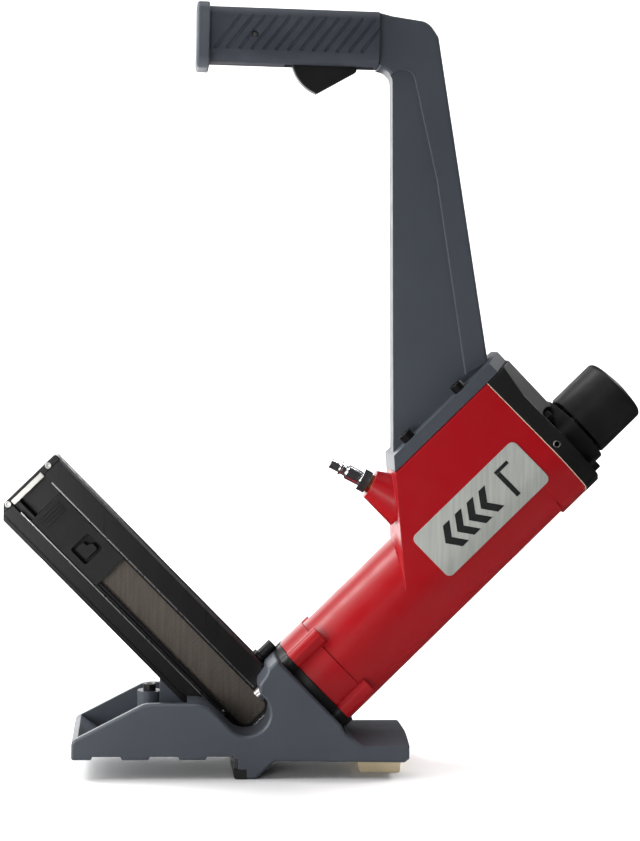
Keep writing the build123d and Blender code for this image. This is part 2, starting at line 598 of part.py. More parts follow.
with BuildPart() as handle_arm:
    # column and bend
    with BuildSketch(Plane.XZ):
        rounded(
            (35.0, 557.3, 0), (46.2, 557.3, 10.8), (48.2, 469.7, 0), (53.4, 245.0, 0), (140.0, 300.0, 0),
            (132.0, 303.3, 0), (82.3, 583.5, 6), (74.5, 595.0, 14), (45.5, 598.6, 9), (35.0, 601.0, 0),
        )
    extrude(amount=COLUMN_HALF, both=True)
    fillet(side_edges(handle_arm, COLUMN_HALF), 2.4)
    split(bisect_by=Plane(origin=NOSE + ALONG_FEED * (TOP_V + 0.01), z_dir=ALONG_FEED), keep=Keep.TOP)
    # foot plate
    with BuildSketch(SIDE):
        rect_uv(240, 383.0, *PLATE_V, 0)
    extrude(amount=TOP_HALF_WIDTH, both=True)
    split(bisect_by=END_FACE, keep=Keep.TOP)
    for y in (-1, 1):
        with BuildSketch(across_feed(TOP_V - 1)):
            rounded((370, y * TOP_HALF_WIDTH, 0), (383.5, y * 13.5, 0), (390, y * 40, 0))
        extrude(amount=14, mode=Mode.SUBTRACT)
    # core inside the grip
    with BuildSketch(Plane.XZ):
        rounded(
            (-97.0, CORE_Z[0], 3), (40.0, CORE_Z[0], 0), (40.0, CORE_Z[1], 0), (-97.0, CORE_Z[1], 3),
        )
    extrude(amount=13.0, both=True)
    # recessed web to the left of the rod's spine, down to the foot plate
    for y in (-1, 1):
        with BuildSketch(Plane.XZ.offset(y * WEB_HALF)):
            rounded(
                (30.0, 546.0, 0), (52, 556.5, 12), (62.5, 556.5, 9), (83.6, 470.7, 60), (109.9, 317.0, 0),
                xz(370.5, PLATE_V[1]) + (0,), xz(240, PLATE_V[1]) + (0,), (30.0, 260.0, 0),
            )
        extrude(amount=y * 10, mode=Mode.SUBTRACT)
    # slot for the trigger and its rear arm
    with BuildSketch(Plane.XZ):
        rounded(
            (TRIGGER_SLOT_X[0], 540, 0), (TRIGGER_SLOT_X[1], 540, 0), (TRIGGER_SLOT_X[1], ARM_SLOT_Z, 0),
            (50, ARM_SLOT_Z, 0), (50, 553, 0), (80, 553, 2), (80, 584, 4), (-36.0, 584, 3),
            (TRIGGER_SLOT_X[0], 570, 2),
        )
    extrude(amount=6.0, both=True, mode=Mode.SUBTRACT)
    # bore for the link rod, pocket for the valve and its air passage
    disc_along(ROD_PLANE.offset(4), 3.6, 260, Mode.SUBTRACT)
    with BuildSketch(Plane.XZ):
        with Locations(TRIGGER_PIVOT):
            Circle(2.0)
        with Locations(GRIP_PIN):
            Circle(1.9)
    extrude(amount=30, both=True, mode=Mode.SUBTRACT)
    for u, y in HANDLE_BOLTS:
        disc_along(across_feed(TOP_V - 1), 3.3, 30, Mode.SUBTRACT, (u, y))
save(handle_arm, "handle_arm")

socket_screws(
    [seat_plane(across_feed(PLATE_V[1]), point) for point in HANDLE_BOLTS],
    5.6, 6.5, 3.0, 24, "handle_bolts",
)

# ---- trigger valve in the handle's foot, worked by a rod down the spine -------------------------
with BuildPart() as link_rod:
    disc_along(ROD_PLANE, 2.5, VALVE_TOP)
    disc_along(ROD_PLANE, 3.2, 3)
save(link_rod, "link_rod")

with BuildPart() as valve_stem:
    disc_along(ROD_PLANE.offset(VALVE_TOP), 2.0, 18)
    disc_along(ROD_PLANE.offset(VALVE_TOP + 5), 2.95, 3)
    disc_along(ROD_PLANE.offset(VALVE_TOP + 12), 2.95, 3)
save(valve_stem, "valve_stem")

with BuildPart() as valve_sleeve:
    disc_along(ROD_PLANE.offset(VALVE_TOP + 1), 3.55, VALVE_LEN + 4)
    disc_along(ROD_PLANE.offset(VALVE_TOP), 3.0, VALVE_LEN + 2, Mode.SUBTRACT)
save(valve_sleeve, "valve_sleeve")

compression_spring(ROD_PLANE.offset(VALVE_TOP + 19.0), 9.5, 2.0, 0.7, 1.9, "valve_spring")

# ---- trigger -------------------------------------------------------------------------------------
with BuildPart() as trigger:
    with BuildSketch(Plane.XZ):
        with BuildLine() as wedge:
            Polyline(
                (-13.2, 536.9), (18.2, 555.1), (18.6, 563.4), (46, 564.8), (79, 567), (79, 571),
                (46, 571.5), (24, 573), (-26, 573), (-32.6, 570), (-32.4, 557),
            )
            ThreePointArc((-32.4, 557), (-25.6, 544.9), (-13.2, 536.9))
        make_face(wedge.edges())
        with Locations(TRIGGER_PIVOT):
            Circle(4.6)
            Circle(2.05, mode=Mode.SUBTRACT)
    extrude(amount=5.2, both=True)
    chamfer(side_edges(trigger, 5.2), 0.8)
save(trigger, "trigger")

with BuildPart() as trigger_pin:
    with BuildSketch(Plane.XZ):
        with Locations(TRIGGER_PIVOT):
            Circle(1.98)
    extrude(amount=13.0, both=True)
save(trigger_pin, "trigger_pin")

compression_spring(Plane(origin=(-18, 0, 573.8)), 9.6, 3.0, 0.9, 2.4, "trigger_spring")

# ---- grip ----------------------------------------------------------------------------------------
with BuildPart() as grip:
    with BuildSketch(Plane.YZ.offset(GRIP_X[0])):
        rect_uv(-GRIP_HALF, GRIP_HALF, *GRIP_Z, 10)
    extrude(amount=GRIP_X[1] - GRIP_X[0])
    # hollow for the core, window for the trigger, side holes for the grip screw
    with BuildSketch(Plane.YZ.offset(GRIP_X[0] - 1)):
        rect_uv(-13.05, 13.05, CORE_Z[0] - 0.05, CORE_Z[1] + 0.05)
    extrude(amount=200, mode=Mode.SUBTRACT)
    with BuildSketch(Plane.XZ):
        rounded(
            (TRIGGER_SLOT_X[0], 540, 0), (TRIGGER_SLOT_X[1], 540, 0), (TRIGGER_SLOT_X[1], ARM_SLOT_Z, 0),
            (GRIP_X[1] + 1, ARM_SLOT_Z, 0), (GRIP_X[1] + 1, 565, 0), (TRIGGER_SLOT_X[0], 565, 2),
        )
    extrude(amount=7.0, both=True, mode=Mode.SUBTRACT)
    with BuildSketch(Plane.XZ):
        with Locations(GRIP_PIN):
            Circle(2.8)
    extrude(amount=30, both=True, mode=Mode.SUBTRACT)
    # slanting grooves on both sides
    for y in (-1, 1):
        with BuildSketch(Plane.XZ.offset(y * (GRIP_HALF - 0.8))):
            for groove in range(13):
                with Locations(Location((-84.5 + 9.6 * groove, 581.5), 52)):
                    SlotOverall(34, 2.6)
        extrude(amount=y * 4, mode=Mode.SUBTRACT)
save(grip, "grip")

with BuildPart() as grip_end_cap:
    with BuildSketch(Plane.YZ.offset(-108.9)):
        rect_uv(-22, 22, 553, 604.6, 9)
    extrude(amount=10.1)
    fillet(grip_end_cap.edges().group_by(Axis.X)[0], 2.5)
    chamfer(grip_end_cap.edges().group_by(Axis.X)[-1], 0.8)
    with BuildSketch(Plane.YZ.offset(-98.8)):
        rect_uv(-12.9, 12.9, CORE_Z[0] + 0.1, CORE_Z[1] - 0.1, 3)
    extrude(amount=1.7)
save(grip_end_cap, "grip_end_cap")

with BuildPart() as grip_pin:
    with BuildSketch(Plane.XZ):
        with Locations(GRIP_PIN):
            Circle(1.85)
    extrude(amount=13.0, both=True)
save(grip_pin, "grip_pin")

# ---- magazine -------------------------------------------------------------------------------------
CAVITY_HALF = 3.3
SHELF_Y = -8.0                                # depth of the window's shelf
THROAT_U, THROAT_V = (29.0, 55.0), 14.5
WINDOW_END_V = 9.8
END_PLATE_V = 276.3
CORNER_CUT = 3.5
END_SCREWS = [(21.5, 273.5), (65.0, 273.5)]


def window(end_v, end_radius):
    """Outline of the magazine's window: round at the nose end."""
    rounded(
        (WINDOW_U[0], end_v, end_radius), (WINDOW_U[0], WINDOW_END_V, 16),
        (WINDOW_U[1], WINDOW_END_V, 16), (WINDOW_U[1], end_v, end_radius),
    )


with BuildPart() as magazine_channel:
    with BuildSketch(SIDE):
        rounded(
            (MAG_U[0], MAG_V[0], 0), (MAG_U[1], MAG_V[0], 0), (MAG_U[1], MAG_V[1], 0),
            (MAG_U[0] + CORNER_CUT, MAG_V[1], 0), (MAG_U[0], MAG_V[1] - CORNER_CUT, 0),
        )
    extrude(amount=MAG_HALF, both=True)
    # near and far cheeks that run down beside the nose
    for y in (-1, 1):
        with BuildSketch(side_at(y * 12.2)):
            rounded(
                (WINDOW_U[0] - 4.2, 60, 0), (WINDOW_U[0] - 4.2, 5.8, 19), (WINDOW_U[1] + 4.2, 5.8, 19),
                (WINDOW_U[1] + 4.2, 60, 0),
            )
        extrude(amount=-y * (MAG_HALF - 12.2))
    # cleat cavity and throat open to the near window
    with BuildSketch(SIDE):
        rect_uv(FEED_U[0], FEED_U[1], 0, 300, 0)
    extrude(amount=CAVITY_HALF, both=True, mode=Mode.SUBTRACT)
    with BuildSketch(SIDE):
        rect_uv(*THROAT_U, THROAT_V, 300, 6)
    extrude(amount=20, mode=Mode.SUBTRACT)
    with BuildSketch(side_at(SHELF_Y)):
        window(300, 0)
    extrude(amount=20, mode=Mode.SUBTRACT)
    # shallow panel in the far wall, long groove on both sides, chamfered top edges
    with BuildSketch(side_at(MAG_HALF - 1.2)):
        window(262, 4)
    extrude(amount=-5, mode=Mode.SUBTRACT)
    for y in (-1, 1):
        with BuildSketch(across_feed(0)):
            rounded((13.2, y * 13.2, 0), (14.4, y * 13.2, 0), (14.4, y * 15, 0), (13.2, y * 15, 0))
            rounded(
                (MAG_U[1] - 2.5, y * 14.5, 0), (MAG_U[1] + 0.5, y * 14.5, 0), (MAG_U[1] + 0.5, y * 11.5, 0),
            )
        extrude(amount=300, mode=Mode.SUBTRACT)
    disc_along(across_tool(MAG_U[1] + 2), 3.0, -11, Mode.SUBTRACT, (MAG_SCREW_V, 0))
save(magazine_channel, "magazine_channel")

RAIL_DEPTH = 1.2
with BuildPart() as magazine_rails:
    with BuildSketch(across_feed(34)):
        rect_uv(WINDOW_U[0], WINDOW_U[0] + RAIL_DEPTH, -13.8, SHELF_Y, 0)
        rect_uv(WINDOW_U[1] - RAIL_DEPTH, WINDOW_U[1], -13.8, SHELF_Y, 0)
    extrude(amount=228)
save(magazine_rails, "magazine_rails")

with BuildPart() as cleat_strip:
    centres = [FIRST_CLEAT_V + CLEAT_PITCH * i for i in range(CLEATS)]
    with BuildSketch(*[across_feed(v - CLEAT_THICK / 2) for v in centres]):
        with BuildLine():
            Polyline(
                (13.4, 0), (19, -2.3), (64.3, -2.3), (64.3, -2.6), (66.4, -2.6), (66.4, 2.9),
                (64.3, 2.9), (62.5, 2.3), (19, 2.3), (13.4, 0),
            )
        make_face()
    extrude(amount=CLEAT_THICK)
save(cleat_strip, "cleat_strip")

PUSHER_LATCH_U, PUSHER_LATCH_V = (31.0, 50.0), (197.0, 214.0)
COIL_U, COIL_V, COIL_R = 31.6, 226.0, 5.4
with BuildPart() as pusher:
    with BuildSketch(across_feed(PUSHER_V[0])):
        rect_uv(WINDOW_U[0] + 1.6, WINDOW_U[1] - 1.6, -13.0, SHELF_Y - 0.3, 0.6)
        rect_uv(THROAT_U[0] + 0.5, THROAT_U[1] - 0.5, SHELF_Y - 1, 0)
        rect_uv(FEED_U[0] + 0.5, FEED_U[1] - 0.5, -2.9, 2.9)
    extrude(amount=PUSHER_V[1] - PUSHER_V[0])
    # well for the finger latch and housing of the roll spring
    with BuildSketch(side_at(-6.0)):
        rect_uv(*PUSHER_LATCH_U, *PUSHER_LATCH_V, 2)
    extrude(amount=20, mode=Mode.SUBTRACT)
    with BuildSketch(side_at(SHELF_Y - 4.2)):
        with Locations((COIL_U, COIL_V)):
            Circle(COIL_R + 0.5)
        rect_uv(20, WINDOW_U[0] + 3.2, 170, COIL_V)
    extrude(amount=-4.3, mode=Mode.SUBTRACT)
    # ribs on the tail
    with BuildSketch(side_at(-13.0)):
        for rib in range(4):
            rect_uv(31, 51, 239 + 2.8 * rib, 240.4 + 2.8 * rib, 0.6)
    extrude(amount=0.6)
save(pusher, "pusher")

with BuildPart() as pusher_latch:
    with BuildSketch(side_at(-8.2)):
        rounded(
            (34, 199.5, 2), (47, 199.5, 2), (47, 205.5, 1.5), (42.5, 207.5, 1.5), (42.5, 211.5, 1.5),
            (34, 211.5, 1.5),
        )
    extrude(amount=4.4)
save(pusher_latch, "pusher_latch")

compression_spring(
    Plane(origin=side_at(-6.25).from_local_coords((40, 205, 0)), z_dir=(0, -1, 0)),
    1.7, 2.2, 0.4, 0.6, "latch_spring",
)

with BuildPart() as spring_roller:
    with BuildSketch(side_at(SHELF_Y + 0.1)):
        with Locations((COIL_U, COIL_V)):
            Circle(2.6)
    extrude(amount=4.3)
save(spring_roller, "spring_roller")

with BuildPart() as spring_coil:
    with BuildSketch(side_at(SHELF_Y - 0.6)):
        with Locations((COIL_U, COIL_V)):
            Circle(COIL_R)
            Circle(2.7, mode=Mode.SUBTRACT)
    extrude(amount=3.2)
save(spring_coil, "spring_coil")

STRIP_U = WINDOW_U[0] + RAIL_DEPTH + 1.0
with BuildPart() as spring_strip:
    with BuildSketch(across_feed(34)):
        rect_uv(STRIP_U, STRIP_U + 0.4, SHELF_Y - 3.8, SHELF_Y - 0.6)
    extrude(amount=COIL_V - 34 - 8)
save(spring_strip, "spring_strip")

with BuildPart() as strip_anchor:
    with BuildSketch(side_at(SHELF_Y)):
        with Locations((STRIP_U + 1.4, 37)):
            Circle(0.9)
    extrude(amount=4.2)
save(strip_anchor, "strip_anchor")

BRACKET_U, BRACKET_V, BRACKET_Y = (24.8, 57.0), (269.6, 274.0), (-13.7, SHELF_Y - 0.1)
with BuildPart() as end_bracket:
    with BuildSketch(across_feed(BRACKET_V[1] - 1.6)):
        rect_uv(*BRACKET_U, *BRACKET_Y)
    extrude(amount=1.6)
    with BuildSketch(across_feed(BRACKET_V[0])):
        rect_uv(*BRACKET_U, BRACKET_Y[0], BRACKET_Y[0] + 1.2)
    extrude(amount=BRACKET_V[1] - BRACKET_V[0])
save(end_bracket, "end_bracket")

with BuildPart() as magazine_end_plate:
    with BuildSketch(SIDE):
        rounded(
            (MAG_U[0] + CORNER_CUT + 0.1, MAG_V[1] + 0.1, 0), (MAG_U[1], MAG_V[1] + 0.1, 0),
            (MAG_U[1], END_PLATE_V, 2.5), (MAG_U[0] + CORNER_CUT + 5.7, END_PLATE_V, 1.5),
        )
    extrude(amount=MAG_HALF, both=True)
    # seat of the bracket
    with BuildSketch(across_feed(MAG_V[1])):
        rect_uv(BRACKET_U[0] - 0.1, BRACKET_U[1] + 0.1, -20, BRACKET_Y[1] + 0.1)
    extrude(amount=BRACKET_V[1] - MAG_V[1] + 0.1, mode=Mode.SUBTRACT)
    for point in END_SCREWS:
        with BuildSketch(SIDE):
            with Locations(point):
                Circle(1.3)
        extrude(amount=20, both=True, mode=Mode.SUBTRACT)
save(magazine_end_plate, "magazine_end_plate")

socket_screws(
    [
        Plane(origin=side_at(y * MAG_HALF).from_local_coords((*point, 0)), z_dir=(0, y, 0))
        for point in END_SCREWS for y in (-1, 1)
    ],
    2.5, 1.0, 1.2, 9, "end_screws",
)

with BuildPart() as magazine_screw:
    disc_along(across_tool(MAG_U[1] + 0.1), SCREW_HEAD_R, 3.2, centre=(MAG_SCREW_V, 0))
    disc_along(across_tool(MAG_U[1] + 3.3), SCREW_KNOB_R, 13.0, centre=(MAG_SCREW_V, 0))
    disc_along(across_tool(MAG_U[1] + 0.1), 2.9, -7, centre=(MAG_SCREW_V, 0))
    with BuildSketch(across_tool(MAG_U[1] + 16.3)):
        with Locations((MAG_SCREW_V, 0)):
            RegularPolygon(2.8, 6)
    extrude(amount=-5, mode=Mode.SUBTRACT)
save(magazine_screw, "magazine_screw")
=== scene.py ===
"""Looks of the flooring nailer: its materials, broken edges and fine detail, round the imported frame."""

import json
import math

import bmesh
import bpy
from mathutils import Matrix, Vector


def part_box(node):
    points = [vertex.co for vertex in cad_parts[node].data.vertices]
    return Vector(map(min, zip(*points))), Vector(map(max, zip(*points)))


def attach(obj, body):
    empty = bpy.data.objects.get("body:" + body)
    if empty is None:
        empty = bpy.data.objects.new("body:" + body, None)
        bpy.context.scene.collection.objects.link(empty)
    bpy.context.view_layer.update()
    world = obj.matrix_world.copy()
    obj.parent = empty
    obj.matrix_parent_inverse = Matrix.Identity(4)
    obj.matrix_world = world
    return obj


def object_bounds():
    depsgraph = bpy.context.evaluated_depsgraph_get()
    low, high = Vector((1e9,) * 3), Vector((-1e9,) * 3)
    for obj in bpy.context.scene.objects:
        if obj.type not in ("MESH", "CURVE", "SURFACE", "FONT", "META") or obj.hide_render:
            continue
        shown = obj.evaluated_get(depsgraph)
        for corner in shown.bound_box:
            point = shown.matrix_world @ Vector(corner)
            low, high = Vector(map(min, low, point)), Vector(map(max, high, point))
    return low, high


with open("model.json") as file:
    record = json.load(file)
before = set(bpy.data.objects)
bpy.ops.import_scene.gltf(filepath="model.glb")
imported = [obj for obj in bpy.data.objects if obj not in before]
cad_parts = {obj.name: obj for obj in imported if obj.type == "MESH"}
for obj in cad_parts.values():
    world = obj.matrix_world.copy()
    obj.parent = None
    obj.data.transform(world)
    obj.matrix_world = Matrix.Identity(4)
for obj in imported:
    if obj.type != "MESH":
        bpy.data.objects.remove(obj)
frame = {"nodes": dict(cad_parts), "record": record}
CAD_LOW, CAD_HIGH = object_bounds()
NODES = frame["nodes"]
MM = 0.001

# ---- directions of the tool ----------------------------------------------------------
# u runs up the driver's axis from the nose, v along the magazine, both in millimetres.
UP_TOOL = Vector((1, 0, 1)).normalized()
ALONG_FEED = Vector((-1, 0, 1)).normalized()
LINER_MID_U = 167.75


def middle(node):
    low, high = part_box(node)
    return (low + high) / 2


NOSE = middle("cylinder_liner") - UP_TOOL * LINER_MID_U * MM


def at(u, v, y=0.0):
    """Point of the frame, in metres, from tool coordinates in millimetres."""
    return NOSE + (UP_TOOL * u + ALONG_FEED * v + Vector((0, y, 0))) * MM


# ---- materials --------------------------------------------------------------------------
class Surface:
    """A Principled material, with helpers that add its procedural detail."""

    def __init__(self, name, color, roughness, metallic=0.0, edge=0.5, **sockets):
        self.material = bpy.data.materials.new(name)
        self.material.use_nodes = True
        self.tree = self.material.node_tree
        self.shader = self.tree.nodes["Principled BSDF"]
        self.color = (*color, 1.0)
        self.shader.inputs["Base Color"].default_value = self.color
        self.shader.inputs["Roughness"].default_value = roughness
        self.shader.inputs["Metallic"].default_value = metallic
        if metallic == 0.0:
            self.shader.inputs["Specular IOR Level"].default_value = 0.25
        for socket, value in sockets.items():
            self.shader.inputs[socket.replace("_", " ")].default_value = value
        self.roughness = roughness
        rounding = self.tree.nodes.new("ShaderNodeBevel")
        rounding.samples = 6
        rounding.inputs["Radius"].default_value = edge * MM
        self.bump = rounding.outputs["Normal"]
        self.link(self.bump, self.shader.inputs["Normal"])
        self.place = self.tree.nodes.new("ShaderNodeTexCoord").outputs["Object"]

    def link(self, output, socket):
        self.tree.links.new(output, socket)

    def stretched(self, scale, turn=(0, 0, 0)):
        mapping = self.tree.nodes.new("ShaderNodeMapping")
        mapping.inputs["Scale"].default_value = scale
        mapping.inputs["Rotation"].default_value = turn
        self.link(self.place, mapping.inputs["Vector"])
        return mapping.outputs["Vector"]

    def noise(self, scale, detail=4.0, rough=0.55, vector=None):
        texture = self.tree.nodes.new("ShaderNodeTexNoise")
        texture.inputs["Scale"].default_value = scale
        texture.inputs["Detail"].default_value = detail
        texture.inputs["Roughness"].default_value = rough
        self.link(vector or self.place, texture.inputs["Vector"])
        return texture.outputs["Fac"]

    def spread(self, value, low, high, out_low=0.0, out_high=1.0):
        ramp = self.tree.nodes.new("ShaderNodeMapRange")
        ramp.inputs["From Min"].default_value = low
        ramp.inputs["From Max"].default_value = high
        ramp.inputs["To Min"].default_value = out_low
        ramp.inputs["To Max"].default_value = out_high
        self.link(value, ramp.inputs["Value"])
        return ramp.outputs["Result"]

    def tint(self, value, other):
        """Mix the colour so far with another one, by a value from 0 to 1."""
        mix = self.tree.nodes.new("ShaderNodeMix")
        mix.data_type = "RGBA"
        socket = self.shader.inputs["Base Color"]
        if socket.is_linked:
            self.link(socket.links[0].from_socket, mix.inputs["A"])
        else:
            mix.inputs["A"].default_value = self.color
        mix.inputs["B"].default_value = (*other, 1.0)
        self.link(value, mix.inputs["Factor"])
        self.link(mix.outputs["Result"], socket)
        return self

    def vary_roughness(self, value, amount):
        out = self.spread(value, 0.3, 0.7, self.roughness - amount, self.roughness + amount)
        self.link(out, self.shader.inputs["Roughness"])
        return self

    def relief(self, value, strength, distance):
        bump = self.tree.nodes.new("ShaderNodeBump")
        bump.inputs["Strength"].default_value = strength
        bump.inputs["Distance"].default_value = distance
        self.link(value, bump.inputs["Height"])
        self.link(self.bump, bump.inputs["Normal"])
        self.bump = bump.outputs["Normal"]
        self.link(self.bump, self.shader.inputs["Normal"])
        return self


def cast_paint(name, color, lighter, roughness, coat):
    """Powder coat over a casting: fine orange peel and slow changes of shade."""
    s = Surface(name, color, roughness, edge=1.1, Coat_Weight=coat, Coat_Roughness=0.15)
    s.tint(s.spread(s.noise(9.0, 3.0), 0.35, 0.75, 0.0, 0.55), lighter)
    s.vary_roughness(s.noise(60.0, 3.0), 0.05)
    s.relief(s.noise(900.0, 2.0), 0.10, 0.0002)
    s.relief(s.noise(220.0, 2.0), 0.08, 0.0005)
    return s.material


def moulded(name, color, roughness, grain=1400.0, depth=0.12):
    """Moulded nylon or rubber with a fine spark-eroded grain."""
    s = Surface(name, color, roughness)
    lighter = tuple(min(1.0, c * 1.5 + 0.004) for c in color)
    s.tint(s.spread(s.noise(25.0, 3.0), 0.4, 0.7, 0.0, 0.5), lighter)
    s.vary_roughness(s.noise(90.0, 3.0), 0.06)
    s.relief(s.noise(grain, 3.0), depth, 0.0003)
    return s.material


def machined(name, color, roughness, metallic=1.0, turn=(0, 0, 0), depth=0.06):
    """Ground or turned metal, with fine lines one way."""
    s = Surface(name, color, roughness, metallic)
    lines = s.noise(400.0, 3.0, vector=s.stretched((1.0, 0.05, 0.05), turn))
    darker = tuple(c * 0.72 for c in color)
    s.tint(s.spread(lines, 0.35, 0.65, 0.0, 0.6), darker)
    s.vary_roughness(lines, 0.06)
    s.relief(lines, depth, 0.0001)
    return s.material


def plated(name, color, roughness):
    """Bright zinc or nickel plate with a faint cloud."""
    s = Surface(name, color, roughness, 1.0)
    s.tint(s.spread(s.noise(120.0, 4.0), 0.4, 0.7, 0.0, 0.5), tuple(c * 0.8 for c in color))
    s.vary_roughness(s.noise(260.0, 3.0), 0.05)
    s.relief(s.noise(700.0, 2.0), 0.03, 0.0001)
    return s.material


def oxide(name, color, roughness, metallic=0.6):
    """Black oxide screws: dark metal, a little uneven."""
    s = Surface(name, color, roughness, metallic)
    s.tint(s.spread(s.noise(300.0, 4.0), 0.5, 0.75, 0.0, 0.5), tuple(c * 3.0 for c in color))
    s.vary_roughness(s.noise(180.0, 3.0), 0.07)
    s.relief(s.noise(900.0, 2.0), 0.06, 0.0001)
    return s.material


FEED_TURN = (0, math.pi / 4, 0)      # turns the lines of a surface along the magazine

MATERIALS = {
    "slate_paint": cast_paint("slate_paint", (0.058, 0.066, 0.080), (0.078, 0.088, 0.104), 0.42, 0.05),
    "red_paint": cast_paint("red_paint", (0.300, 0.0008, 0.0040), (0.350, 0.0015, 0.007), 0.38, 0.04),
    "black_paint": cast_paint("black_paint", (0.008, 0.008, 0.008), (0.013, 0.013, 0.013), 0.36, 0.0),
    "black_anodised": machined("black_anodised", (0.012, 0.011, 0.012), 0.33, 0.35, FEED_TURN, 0.04),
    "black_nylon": moulded("black_nylon", (0.010, 0.010, 0.010), 0.42),
    "grey_nylon": moulded("grey_nylon", (0.075, 0.083, 0.098), 0.45),
    "grip_rubber": moulded("grip_rubber", (0.040, 0.045, 0.058), 0.62, 1100.0, 0.25),
    "black_rubber": moulded("black_rubber", (0.012, 0.012, 0.012), 0.70),
    "tan_pad": moulded("tan_pad", (0.60, 0.50, 0.33), 0.60),
    "hard_steel": machined("hard_steel", (0.42, 0.42, 0.42), 0.30),
    "black_screws": oxide("black_screws", (0.012, 0.012, 0.013), 0.38),
    "zinc_steel": plated("zinc_steel", (0.62, 0.61, 0.58), 0.34),
    "spring_steel": machined("spring_steel", (0.25, 0.25, 0.26), 0.35),
    "bare_aluminium": machined("bare_aluminium", (0.62, 0.62, 0.63), 0.30),
    "bronze": machined("bronze", (0.50, 0.33, 0.13), 0.32),
    "chrome": plated("chrome", (0.78, 0.78, 0.80), 0.22),
    "gasket": moulded("gasket", (0.55, 0.45, 0.34), 0.75),
    "cleat_steel": machined("cleat_steel", (0.16, 0.135, 0.115), 0.45, 0.6),
    "ink": moulded("ink", (0.012, 0.012, 0.013), 0.45),
    "label": machined("label", (0.52, 0.54, 0.50), 0.42, 0.35, FEED_TURN, 0.03),
}

SLOT_OF = {row["node"]: row["material_slot"] for row in frame["record"]["subparts"]}
for name, node in NODES.items():
    node.data.materials.clear()
    node.data.materials.append(MATERIALS[SLOT_OF[name]])


# ---- broken edges -----------------------------------------------------------------------
def break_edges(node, width, segments=2, angle=28):
    """Round the sharp edges of a CAD node by modifiers, which leave its own mesh alone."""
    weld = node.modifiers.new("weld", "WELD")
    weld.merge_threshold = 0.00001
    flat = node.modifiers.new("flat", "DECIMATE")
    flat.decimate_type = "DISSOLVE"
    flat.angle_limit = math.radians(0.4)
    bevel = node.modifiers.new("bevel", "BEVEL")
    bevel.width = width
    bevel.segments = segments
    bevel.limit_method = "ANGLE"
    bevel.angle_limit = math.radians(angle)
    bevel.use_clamp_overlap = False
    bevel.miter_outer = "MITER_ARC"
    bevel.loop_slide = False
    smooth = node.modifiers.new("smooth", "WEIGHTED_NORMAL")
    smooth.mode = "FACE_AREA"
    smooth.weight = 60


EDGE_WIDTH = {
    "head_cap": 0.5, "magazine_end_plate": 0.4, "trigger": 0.4, "pusher_latch": 0.4, "grip_end_cap": 0.5,
    "base_pad": 0.6, "board_plates": 0.3, "boss_screw": 0.4, "magazine_screw": 0.4, "head_bolts": 0.4,
    "handle_bolts": 0.4, "end_screws": 0.2,
}
for name, width in EDGE_WIDTH.items():
    break_edges(NODES[name], width * MM)


# ---- pieces made here -------------------------------------------------------------------
def piece(name, material, verts, faces, smooth=False):
    """Mesh piece from points and faces, riding on the frame body."""
    mesh = bpy.data.meshes.new(name)
    mesh.from_pydata([tuple(v) for v in verts], [], faces)
    bm = bmesh.new()
    bm.from_mesh(mesh)
    bmesh.ops.recalc_face_normals(bm, faces=bm.faces)
    bm.to_mesh(mesh)
    bm.free()
    for face in mesh.polygons:
        face.use_smooth = smooth
    made = bpy.data.objects.new(name, mesh)
    bpy.context.scene.collection.objects.link(made)
    mesh.materials.append(material)
    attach(made, "frame")


def skin(rows):
    """Points and faces of a solid through closed rows of equal length, with both ends capped."""
    count = len(rows[0])
    verts = [v for row in rows for v in row]
    faces = []
    for r in range(len(rows) - 1):
        for i in range(count):
            j = (i + 1) % count
            faces.append((r * count + i, r * count + j, (r + 1) * count + j, (r + 1) * count + i))
    faces.append(tuple(range(count))[::-1])
    faces.append(tuple(range((len(rows) - 1) * count, len(rows) * count)))
    return verts, faces


# the housing's section: a round cylinder, then a flank that narrows from the hip to the top
HOUSING_R = 40.2
HIP_V, HIP_Y, TOP_V, TOP_Y = 7.0, 39.6, 80.5, 27.0
# the end face of its deep upper part: END_NU * u + END_NV * v = END_C
END_NU, END_NV, END_C = 0.76997, -0.63802, 146.288
FILLET_R = 13.0
FILLET_REACH = 38.8          # half width over which the blend runs
FILLET_FADE = 39.2           # half width at which its radius would be nothing
VENT_U, VENT_V, VENT_Y = 363.6, 8.5, -39.55
# the label's print: its heights above the flank, four arrowheads and a cleat
PRINT_LOW, PRINT_HIGH = 0.5, 0.75
ARROWS, ARROW_U, ARROW_PITCH = 4, 246, 13
ARROW_V, ARROW_REACH, ARROW_LEAN, ARROW_WIDTH = 14, 11, 8, 7
CLEAT_U, CLEAT_V, CLEAT_WIDTH = 312, (1, 24), 4
CLEAT_HEAD_V, CLEAT_HEAD_WIDTH = (24.2, 27), 14


def side_y(v):
    """Half width of the housing's flank at v."""
    if v < HIP_V:
        return math.sqrt(HOUSING_R ** 2 - v ** 2)
    return HIP_Y + (TOP_Y - HIP_Y) * (v - HIP_V) / (TOP_V - HIP_V)


